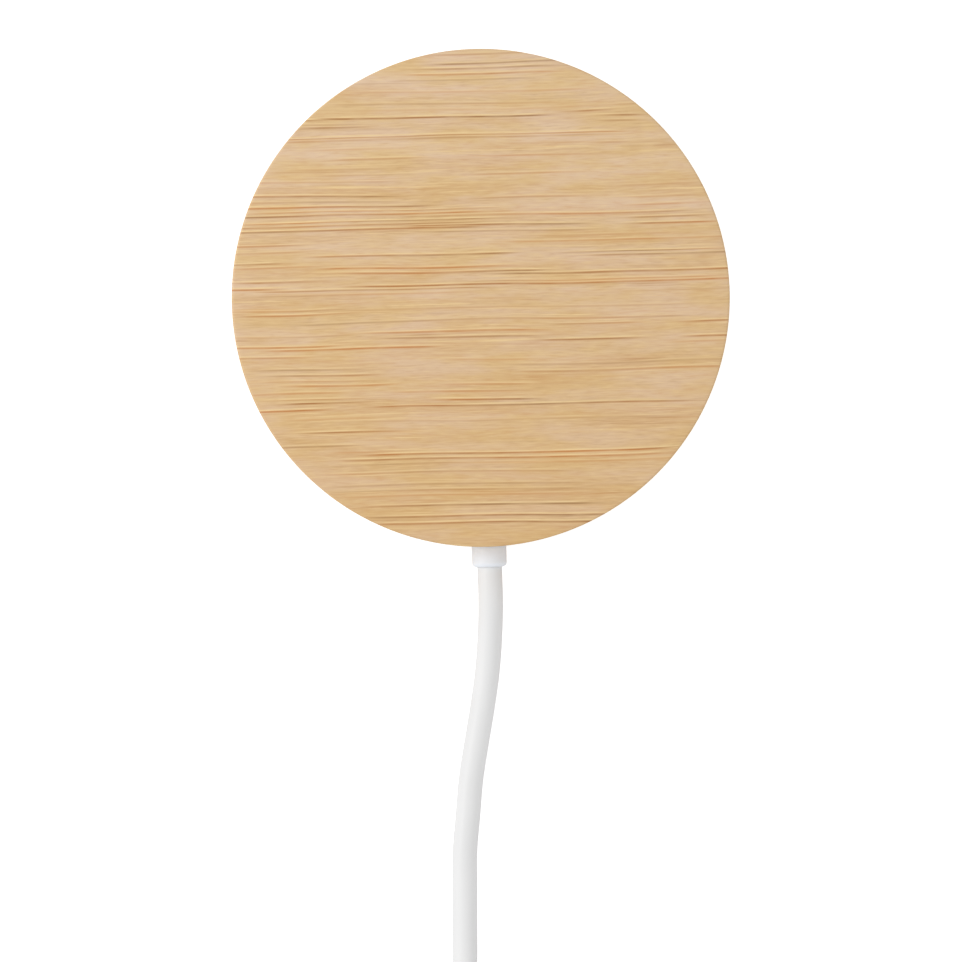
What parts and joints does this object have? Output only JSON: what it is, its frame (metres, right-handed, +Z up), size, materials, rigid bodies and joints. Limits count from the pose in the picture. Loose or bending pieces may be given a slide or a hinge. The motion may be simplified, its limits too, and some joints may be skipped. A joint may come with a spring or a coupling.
{
  "type": "wireless charging pad",
  "caption": "Round wireless charging pad with a bamboo body, a magnet ring and a captive white USB-C cord.",
  "frame": {"origin": "middle of the pad, on the surface that it stands on", "axes": "+Z up through the charging face, -Y along the cord as it leaves the pad, +X to the right along the grain"},
  "size_m": [0.0692, 0.1753, 0.009],
  "materials": {
    "bamboo": "satin",
    "cover_plastic": "matte",
    "silicone": "matte",
    "screw_steel": "satin",
    "carrier_plastic": "matte",
    "adhesive_tape": "matte",
    "copper_wire": "satin",
    "ferrite": "matte",
    "magnet_nickel": "polished",
    "yoke_steel": "satin",
    "circuit_board": "satin",
    "chip_resin": "matte",
    "ceramic": "satin",
    "can_metal": "polished",
    "thermistor_resin": "gloss",
    "cord_plastic": "matte",
    "plug_plastic": "satin",
    "plug_steel": "polished",
    "contact_resin": "matte",
    "tie_fabric": "woven",
    "lead_red": "satin",
    "lead_black": "satin",
    "lead_green": "satin",
    "lead_white": "satin"
  },
  "bodies": {
    "root": {"adhesive_disc": "adhesive_tape", "anti_slip_ring": "silicone", "bamboo_cover": "bamboo", "base_cover": "cover_plastic", "circuit_board": "circuit_board", "coil_carrier": "carrier_plastic", "controller_chip": "chip_resin", "cord": "cord_plastic", "cord_coil": "cord_plastic", "cord_grommet": "cord_plastic", "cord_inner_end": "cord_plastic", "cord_tail": "cord_plastic", "cord_tie": "tie_fabric", "cover_screw_1": "screw_steel", "cover_screw_2": "screw_steel", "cover_screw_3": "screw_steel", "cover_screw_4": "screw_steel", "crystal": "can_metal", "ferrite_sheet": "ferrite", "input_capacitor_1": "ceramic", "input_capacitor_2": "ceramic", "lead_black": "lead_black", "lead_green": "lead_green", "lead_red": "lead_red", "lead_white": "lead_white", "magnet_01": "magnet_nickel", "magnet_02": "magnet_nickel", "magnet_03": "magnet_nickel", "magnet_04": "magnet_nickel", "magnet_05": "magnet_nickel", "magnet_06": "magnet_nickel", "magnet_07": "magnet_nickel", "magnet_08": "magnet_nickel", "magnet_09": "magnet_nickel", "magnet_10": "magnet_nickel", "magnet_11": "magnet_nickel", "magnet_12": "magnet_nickel", "magnet_13": "magnet_nickel", "magnet_14": "magnet_nickel", "magnet_yoke": "yoke_steel", "plug_body": "plug_plastic", "plug_insulator": "contact_resin", "plug_shell": "plug_steel", "plug_strain_relief": "plug_plastic", "power_inductor": "ferrite", "power_stage_chip": "chip_resin", "resonance_capacitor_1": "ceramic", "resonance_capacitor_2": "ceramic", "resonance_capacitor_3": "ceramic", "resonance_capacitor_4": "ceramic", "thermistor": "thermistor_resin", "transmit_coil": "copper_wire"}
  },
  "joints": []
}
